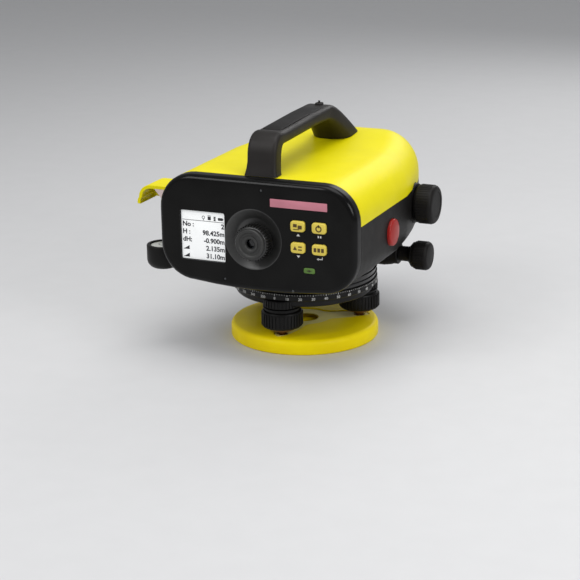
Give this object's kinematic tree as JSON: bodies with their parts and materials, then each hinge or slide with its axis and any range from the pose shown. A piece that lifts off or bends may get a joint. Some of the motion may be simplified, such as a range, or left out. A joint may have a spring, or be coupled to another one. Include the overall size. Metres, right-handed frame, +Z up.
{
  "type": "digital level",
  "caption": "Digital levelling instrument: telescope and electronics in a dished housing with a handle, on a spindle over a three-screw base.",
  "frame": {"origin": "centre of the bounding box in plan, at the underside of the base plate", "axes": "+Z up, along the turning axis; +Y along the line of sight, towards the objective; +X to the operator's right, where the knobs are"},
  "size_m": [0.196, 0.219, 0.178],
  "materials": {
    "yellow_shell": "satin gloss",
    "yellow_base": "satin paint",
    "black_metal": "satin",
    "black_plastic": "fine grain",
    "dark_plastic": "satin",
    "knob_rubber": "ribbed",
    "panel_gloss": "gloss",
    "steel": "brushed",
    "brass": "turned",
    "dark_aluminium": "turned",
    "optical_glass": "polished",
    "screen": "clear over a pale display",
    "key_caps": "satin",
    "red_cap": "gloss",
    "lamp_cap": "satin",
    "name_plate": "satin",
    "circuit_board": "lacquered",
    "cell_can": "satin",
    "mirror": "polished"
  },
  "bodies": {
    "base": {"base_plate": "yellow_base", "spring_plate": "steel", "tribrach": "black_metal", "worm_wheel": "brass"},
    "foot_1": {"foot_screw_1": "brass", "foot_wheel_1": "black_plastic"},
    "foot_2": {"foot_screw_2": "brass", "foot_wheel_2": "black_plastic"},
    "foot_3": {"foot_screw_3": "brass", "foot_wheel_3": "black_plastic"},
    "ring": {"circle_ring": "black_plastic"},
    "head": {"lower_housing": "dark_plastic", "upper_housing": "yellow_shell", "rear_panel": "panel_gloss", "display_window": "screen", "display_module": "circuit_board", "name_strip": "name_plate", "indicator_lamp": "lamp_cap", "key_board": "circuit_board", "telescope_tube": "dark_aluminium", "objective_hood": "black_plastic", "objective_lens": "optical_glass", "compensator_frame": "dark_aluminium", "beam_splitter": "optical_glass", "sensor_board": "circuit_board", "main_board": "circuit_board", "eyepiece_barrel": "dark_aluminium", "handle": "dark_plastic", "handle_strip": "dark_plastic", "level_holder": "black_plastic", "level_vial": "optical_glass", "mirror_hood": "yellow_shell", "bubble_mirror": "mirror", "cell_1": "cell_can", "cell_2": "cell_can", "cell_3": "cell_can", "cell_4": "cell_can", "battery_holder": "black_plastic", "spindle": "steel"},
    "focus_control": {"focus_knob": "knob_rubber", "focus_shaft": "steel"},
    "focus_carriage": {"focus_cell": "dark_aluminium", "focus_lens": "optical_glass"},
    "drive_control": {"drive_knob": "knob_rubber", "drive_shaft": "steel"},
    "button": {"measure_button": "red_cap"},
    "key_upper_left": {"key_upper_left": "key_caps"},
    "key_upper_right": {"key_upper_right": "key_caps"},
    "key_lower_left": {"key_lower_left": "key_caps"},
    "key_lower_right": {"key_lower_right": "key_caps"},
    "dioptre": {"dioptre_ring": "black_plastic", "eyepiece_cup": "knob_rubber", "eye_lens": "optical_glass"},
    "compensator": {"pendulum": "brass"},
    "door": {"battery_door": "dark_plastic"},
    "latch": {"door_latch": "black_plastic"}
  },
  "joints": [
    {"name": "foot_screw_1_turn", "type": "hinge", "parent": "base", "child": "foot_1", "pos_m": [0.00751, -0.0533, 0.025], "axis": [0, 0, 1], "range_deg": [-1440, 1440]},
    {"name": "foot_screw_2_turn", "type": "hinge", "parent": "base", "child": "foot_2", "pos_m": [0.04501, 0.01165, 0.025], "axis": [0, 0, 1], "range_deg": [-1440, 1440]},
    {"name": "foot_screw_3_turn", "type": "hinge", "parent": "base", "child": "foot_3", "pos_m": [-0.02999, 0.01165, 0.025], "axis": [0, 0, 1], "range_deg": [-1440, 1440]},
    {"name": "circle_ring_turn", "type": "hinge", "parent": "base", "child": "ring", "pos_m": [0.00751, -0.01, 0.0424], "axis": [0, 0, 1], "continuous": true},
    {"name": "head_rotation", "type": "hinge", "parent": "base", "child": "head", "pos_m": [0.00751, -0.01, 0.0577], "axis": [0, 0, 1], "continuous": true},
    {"name": "drive_knob_turn", "type": "hinge", "parent": "head", "child": "drive_control", "pos_m": [0.06991, 0.0372, 0.0577], "axis": [1, 0, 0], "continuous": true},
    {"name": "focus_slide", "type": "slide", "parent": "head", "child": "focus_carriage", "axis": [0, 1, 0], "range_m": [-0.008, 0.008]},
    {"name": "focus_knob_turn", "type": "hinge", "parent": "head", "child": "focus_control", "pos_m": [0.08419, 0.0377, 0.09945], "axis": [1, 0, 0], "range_deg": [-125, 125]},
    {"name": "dioptre_turn", "type": "hinge", "parent": "head", "child": "dioptre", "pos_m": [0.00751, -0.101, 0.0973], "axis": [0, 1, 0], "range_deg": [-150, 150]},
    {"name": "measure_button_press", "type": "slide", "parent": "head", "child": "button", "axis": [-1, 0, 0], "range_m": [0, 0.0015], "stiffness_N_per_m": 900},
    {"name": "key_upper_left_press", "type": "slide", "parent": "head", "child": "key_upper_left", "axis": [0, 1, 0], "range_m": [0, 0.001], "stiffness_N_per_m": 700},
    {"name": "key_upper_right_press", "type": "slide", "parent": "head", "child": "key_upper_right", "axis": [0, 1, 0], "range_m": [0, 0.001], "stiffness_N_per_m": 700},
    {"name": "key_lower_left_press", "type": "slide", "parent": "head", "child": "key_lower_left", "axis": [0, 1, 0], "range_m": [0, 0.001], "stiffness_N_per_m": 700},
    {"name": "key_lower_right_press", "type": "slide", "parent": "head", "child": "key_lower_right", "axis": [0, 1, 0], "range_m": [0, 0.001], "stiffness_N_per_m": 700},
    {"name": "pendulum_swing", "type": "hinge", "parent": "head", "child": "compensator", "pos_m": [0.00751, -0.014, 0.1142], "axis": [1, 0, 0], "range_deg": [-1.5, 1.5]},
    {"name": "battery_door_hinge", "type": "hinge", "parent": "head", "child": "door", "pos_m": [-0.07319, -0.024, 0.10155], "axis": [0, 1, 0], "range_deg": [0, 95]},
    {"name": "door_latch_slide", "type": "slide", "parent": "door", "child": "latch", "axis": [0, 0, 1], "range_m": [0, 0.003]}
  ],
  "couplings": [
    {"joint": "drive_knob_turn", "follows": "head_rotation", "ratio": -30},
    {"joint": "focus_knob_turn", "follows": "focus_slide", "rad_per_m": 250}
  ]
}
